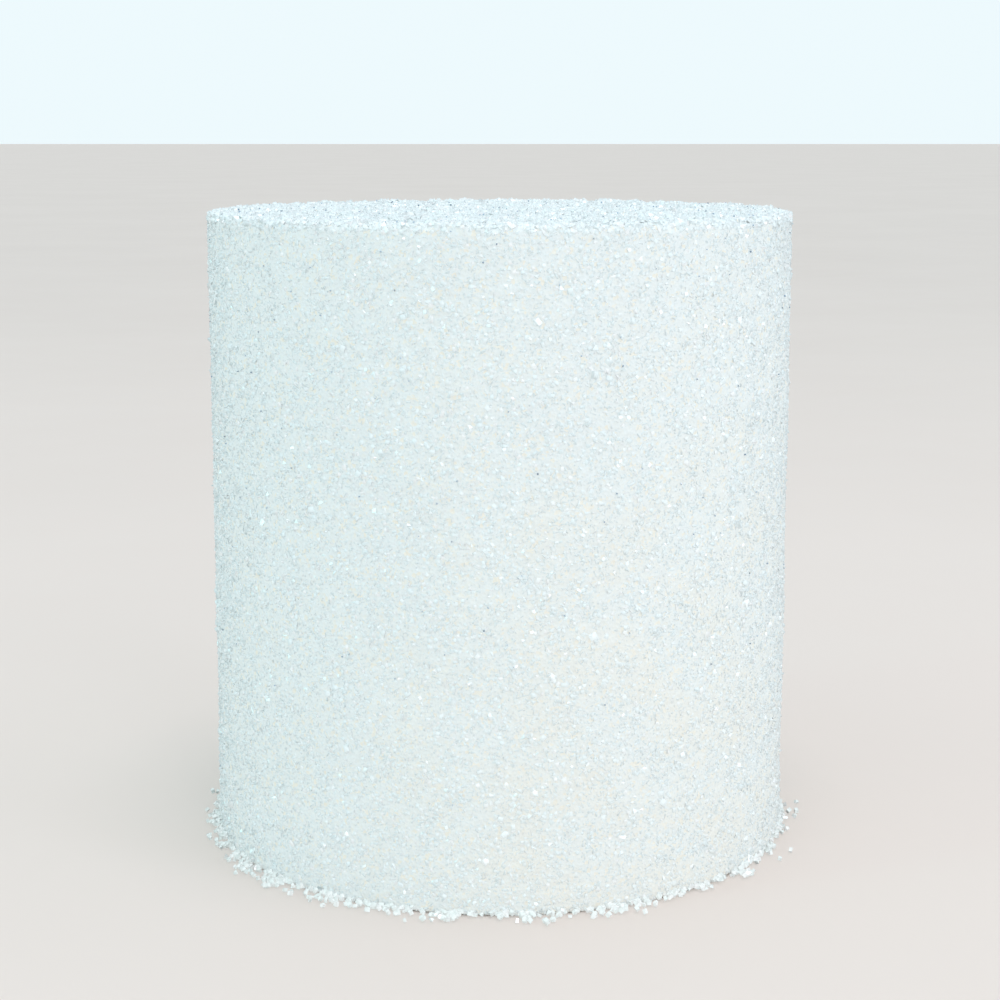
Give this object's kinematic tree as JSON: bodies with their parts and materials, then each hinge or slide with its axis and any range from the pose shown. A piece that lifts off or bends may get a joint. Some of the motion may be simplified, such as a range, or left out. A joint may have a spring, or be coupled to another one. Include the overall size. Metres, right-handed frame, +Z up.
{
  "type": "sugar coated cake",
  "caption": "Tall, straight-sided round cake, uncut, with white icing coated all over in coarse white sugar crystals.",
  "frame": {"origin": "the middle of the cake's flat underside, at the height of the surface that it stands on", "axes": "+Z up along the cake's axis; -Y toward the side seen in the picture; +X to its right"},
  "size_m": [0.1628, 0.1635, 0.1726],
  "materials": {
    "sugar": "coarse white sugar crystals over pale cream icing, slightly glistening"
  },
  "bodies": {
    "root": {"cake": "sugar"}
  },
  "joints": []
}
